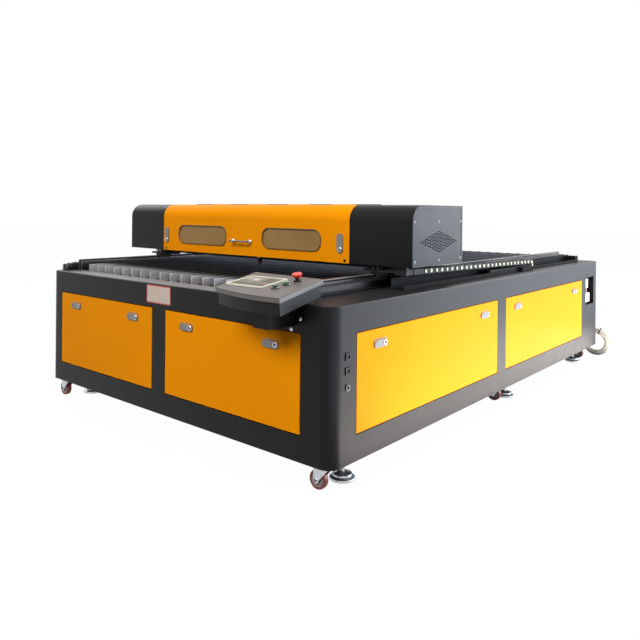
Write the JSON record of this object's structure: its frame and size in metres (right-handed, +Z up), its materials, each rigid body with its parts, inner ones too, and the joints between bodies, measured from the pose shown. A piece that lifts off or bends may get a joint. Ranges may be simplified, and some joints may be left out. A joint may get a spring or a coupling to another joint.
{
  "type": "laser engraving machine",
  "caption": "Flatbed laser engraving and cutting machine: steel cabinet with drop-down doors, slatted bed, travelling gantry with lifting cover, console, casters and levelling feet.",
  "frame": {"origin": "middle of the machine's outline on the ground, without the free water hose", "axes": "+X to the right along the short front side, +Y from the front to the back along the bed, +Z up"},
  "size_m": [2.1999, 3.3371, 1.0655],
  "materials": {
    "grey_paint": "satin powder coat",
    "orange_paint": "semi-gloss powder coat",
    "dark_frame": "matt",
    "deck_paint": "satin",
    "galvanised": "zinc",
    "slat_aluminium": "bright",
    "black_aluminium": "black anodised",
    "steel": "ground",
    "chrome": "polished",
    "belt_rubber": "matt",
    "black_plastic": "matt",
    "black_metal": "satin",
    "keypad_cream": "matt",
    "red_plastic": "gloss",
    "green_plastic": "gloss",
    "dark_plastic": "gloss",
    "white_plastic": "matt",
    "unit_silver": "satin",
    "red_polyurethane": "satin",
    "window_brown": "tinted acrylic",
    "tube_glass": "clear",
    "white_hose": "satin"
  },
  "bodies": {
    "cabinet": {"cabinet_shell": "grey_paint", "base_frame": "dark_frame", "top_deck": "deck_paint", "dust_tray": "galvanised", "knife_slats": "slat_aluminium", "y_beams": "black_aluminium", "y_rails": "steel", "y_belts": "belt_rubber", "y_motor": "black_metal", "cable_chain": "black_plastic", "chain_tray": "black_metal", "console_arm": "grey_paint", "console_box": "grey_paint", "keypad_panel": "keypad_cream", "laser_power_supply": "unit_silver", "controller_unit": "unit_silver", "service_sockets": "white_plastic", "levelling_feet": "galvanised", "water_hose": "white_hose", "hose_coil": "white_hose"},
    "drive_shaft": {"drive_shaft": "steel"},
    "front_idlers": {"front_idlers": "steel"},
    "estop_button": {"estop_button": "red_plastic"},
    "start_button": {"start_button": "green_plastic"},
    "pulse_button": {"pulse_button": "dark_plastic"},
    "power_rocker": {"power_rocker": "red_plastic"},
    "door_front_left": {"door_front_left": "orange_paint"},
    "door_front_right": {"door_front_right": "orange_paint"},
    "door_side_front": {"door_side_front": "orange_paint"},
    "door_side_rear": {"door_side_rear": "orange_paint"},
    "latches_front_left": {"latches_front_left": "chrome"},
    "latches_front_right": {"latches_front_right": "chrome"},
    "latches_side_front": {"latches_side_front": "chrome"},
    "latches_side_rear": {"latches_side_rear": "chrome"},
    "gantry": {"gantry_beam": "dark_frame", "end_cover_left": "grey_paint", "end_cover_right": "grey_paint", "rear_cover": "grey_paint", "laser_tube": "tube_glass", "mirror_mounts": "steel", "x_rail": "steel", "x_belt_drive": "black_metal"},
    "lifting_cover": {"lifting_cover": "orange_paint", "cover_windows": "window_brown", "cover_handle": "chrome"},
    "cover_latches": {"cover_latches": "chrome"},
    "head_carriage": {"head_carriage": "black_aluminium"},
    "laser_head": {"laser_head": "black_aluminium"},
    "caster_fork_1": {"caster_fork_1": "galvanised"},
    "caster_wheel_1": {"caster_wheel_1": "red_polyurethane"},
    "caster_fork_2": {"caster_fork_2": "galvanised"},
    "caster_wheel_2": {"caster_wheel_2": "red_polyurethane"},
    "caster_fork_3": {"caster_fork_3": "galvanised"},
    "caster_wheel_3": {"caster_wheel_3": "red_polyurethane"},
    "caster_fork_4": {"caster_fork_4": "galvanised"},
    "caster_wheel_4": {"caster_wheel_4": "red_polyurethane"},
    "caster_fork_5": {"caster_fork_5": "galvanised"},
    "caster_wheel_5": {"caster_wheel_5": "red_polyurethane"},
    "caster_fork_6": {"caster_fork_6": "galvanised"},
    "caster_wheel_6": {"caster_wheel_6": "red_polyurethane"}
  },
  "joints": [
    {"name": "gantry_travel", "type": "slide", "parent": "cabinet", "child": "gantry", "axis": [0, 1, 0], "range_m": [-0.45, 1.95], "deforming": ["cable_chain"]},
    {"name": "head_travel", "type": "slide", "parent": "gantry", "child": "head_carriage", "axis": [1, 0, 0], "range_m": [-0.72, 0.58]},
    {"name": "focus_travel", "type": "slide", "parent": "head_carriage", "child": "laser_head", "axis": [0, 0, 1], "range_m": [-0.015, 0.025]},
    {"name": "cover_hinge", "type": "hinge", "parent": "gantry", "child": "lifting_cover", "pos_m": [0.07385, -0.57727, 1.0615], "axis": [-1, 0, 0], "range_deg": [0, 75]},
    {"name": "cover_latch_hinge", "type": "hinge", "parent": "lifting_cover", "child": "cover_latches", "pos_m": [-0.04065, -0.83507, 0.9225], "axis": [-1, 0, 0], "range_deg": [0, 40]},
    {"name": "door_front_left_hinge", "type": "hinge", "parent": "cabinet", "child": "door_front_left", "pos_m": [-0.40165, -1.43127, 0.213], "axis": [1, 0, 0], "range_deg": [0, 90]},
    {"name": "latches_front_left_hinge", "type": "hinge", "parent": "door_front_left", "child": "latches_front_left", "pos_m": [-0.40165, -1.44007, 0.5325], "axis": [-1, 0, 0], "range_deg": [0, 40]},
    {"name": "door_front_right_hinge", "type": "hinge", "parent": "cabinet", "child": "door_front_right", "pos_m": [0.50935, -1.43127, 0.213], "axis": [1, 0, 0], "range_deg": [0, 90]},
    {"name": "latches_front_right_hinge", "type": "hinge", "parent": "door_front_right", "child": "latches_front_right", "pos_m": [0.50935, -1.44007, 0.5325], "axis": [-1, 0, 0], "range_deg": [0, 40]},
    {"name": "door_side_front_hinge", "type": "hinge", "parent": "cabinet", "child": "door_side_front", "pos_m": [1.05785, -0.68377, 0.213], "axis": [0, 1, 0], "range_deg": [0, 90]},
    {"name": "latches_side_front_hinge", "type": "hinge", "parent": "door_side_front", "child": "latches_side_front", "pos_m": [1.06665, -0.68377, 0.5325], "axis": [0, -1, 0], "range_deg": [0, 40]},
    {"name": "door_side_rear_hinge", "type": "hinge", "parent": "cabinet", "child": "door_side_rear", "pos_m": [1.05785, 0.62823, 0.213], "axis": [0, 1, 0], "range_deg": [0, 90]},
    {"name": "latches_side_rear_hinge", "type": "hinge", "parent": "door_side_rear", "child": "latches_side_rear", "pos_m": [1.06665, 0.62823, 0.5325], "axis": [0, -1, 0], "range_deg": [0, 40]},
    {"name": "estop_press", "type": "slide", "parent": "cabinet", "child": "estop_button", "axis": [0, 0.1219, -0.9925], "range_m": [0, 0.005], "stiffness_N_per_m": 300, "springref_m": -0.004},
    {"name": "start_press", "type": "slide", "parent": "cabinet", "child": "start_button", "axis": [0, 0.1219, -0.9925], "range_m": [0, 0.0025], "stiffness_N_per_m": 300, "springref_m": -0.003},
    {"name": "pulse_press", "type": "slide", "parent": "cabinet", "child": "pulse_button", "axis": [0, 0.1219, -0.9925], "range_m": [0, 0.0025], "stiffness_N_per_m": 300, "springref_m": -0.003},
    {"name": "power_rocker_tilt", "type": "hinge", "parent": "cabinet", "child": "power_rocker", "pos_m": [1.02785, 1.41673, 0.502], "axis": [0, 1, 0], "range_deg": [0, 12]},
    {"name": "caster_1_swivel", "type": "hinge", "parent": "cabinet", "child": "caster_fork_1", "pos_m": [0.98885, -1.37527, 0.095], "axis": [0, 0, 1], "continuous": true},
    {"name": "caster_1_roll", "type": "hinge", "parent": "caster_fork_1", "child": "caster_wheel_1", "pos_m": [0.95885, -1.37527, 0.0395], "axis": [0, 1, 0], "continuous": true},
    {"name": "caster_2_swivel", "type": "hinge", "parent": "cabinet", "child": "caster_fork_2", "pos_m": [0.98885, 0.11573, 0.095], "axis": [0, 0, 1], "continuous": true},
    {"name": "caster_2_roll", "type": "hinge", "parent": "caster_fork_2", "child": "caster_wheel_2", "pos_m": [0.95885, 0.11573, 0.0395], "axis": [0, 1, 0], "continuous": true},
    {"name": "caster_3_swivel", "type": "hinge", "parent": "cabinet", "child": "caster_fork_3", "pos_m": [0.98885, 1.48273, 0.095], "axis": [0, 0, 1], "continuous": true},
    {"name": "caster_3_roll", "type": "hinge", "parent": "caster_fork_3", "child": "caster_wheel_3", "pos_m": [0.95885, 1.48273, 0.0395], "axis": [0, 1, 0], "continuous": true},
    {"name": "caster_4_swivel", "type": "hinge", "parent": "cabinet", "child": "caster_fork_4", "pos_m": [-0.84115, -1.37527, 0.095], "axis": [0, 0, 1], "continuous": true},
    {"name": "caster_4_roll", "type": "hinge", "parent": "caster_fork_4", "child": "caster_wheel_4", "pos_m": [-0.87115, -1.37527, 0.0395], "axis": [0, 1, 0], "continuous": true},
    {"name": "caster_5_swivel", "type": "hinge", "parent": "cabinet", "child": "caster_fork_5", "pos_m": [-0.84115, 0.11573, 0.095], "axis": [0, 0, 1], "continuous": true},
    {"name": "caster_5_roll", "type": "hinge", "parent": "caster_fork_5", "child": "caster_wheel_5", "pos_m": [-0.87115, 0.11573, 0.0395], "axis": [0, 1, 0], "continuous": true},
    {"name": "caster_6_swivel", "type": "hinge", "parent": "cabinet", "child": "caster_fork_6", "pos_m": [-0.84115, 1.48273, 0.095], "axis": [0, 0, 1], "continuous": true},
    {"name": "caster_6_roll", "type": "hinge", "parent": "caster_fork_6", "child": "caster_wheel_6", "pos_m": [-0.87115, 1.48273, 0.0395], "axis": [0, 1, 0], "continuous": true},
    {"name": "drive_shaft_turn", "type": "hinge", "parent": "cabinet", "child": "drive_shaft", "pos_m": [0.07385, 1.50773, 0.712], "axis": [-1, 0, 0], "continuous": true},
    {"name": "front_idlers_turn", "type": "hinge", "parent": "cabinet", "child": "front_idlers", "pos_m": [0.07385, -1.30727, 0.712], "axis": [-1, 0, 0], "continuous": true}
  ],
  "couplings": [
    {"joint": "drive_shaft_turn", "follows": "gantry_travel", "rad_per_m": 65.359},
    {"joint": "front_idlers_turn", "follows": "gantry_travel", "rad_per_m": 65.359}
  ]
}
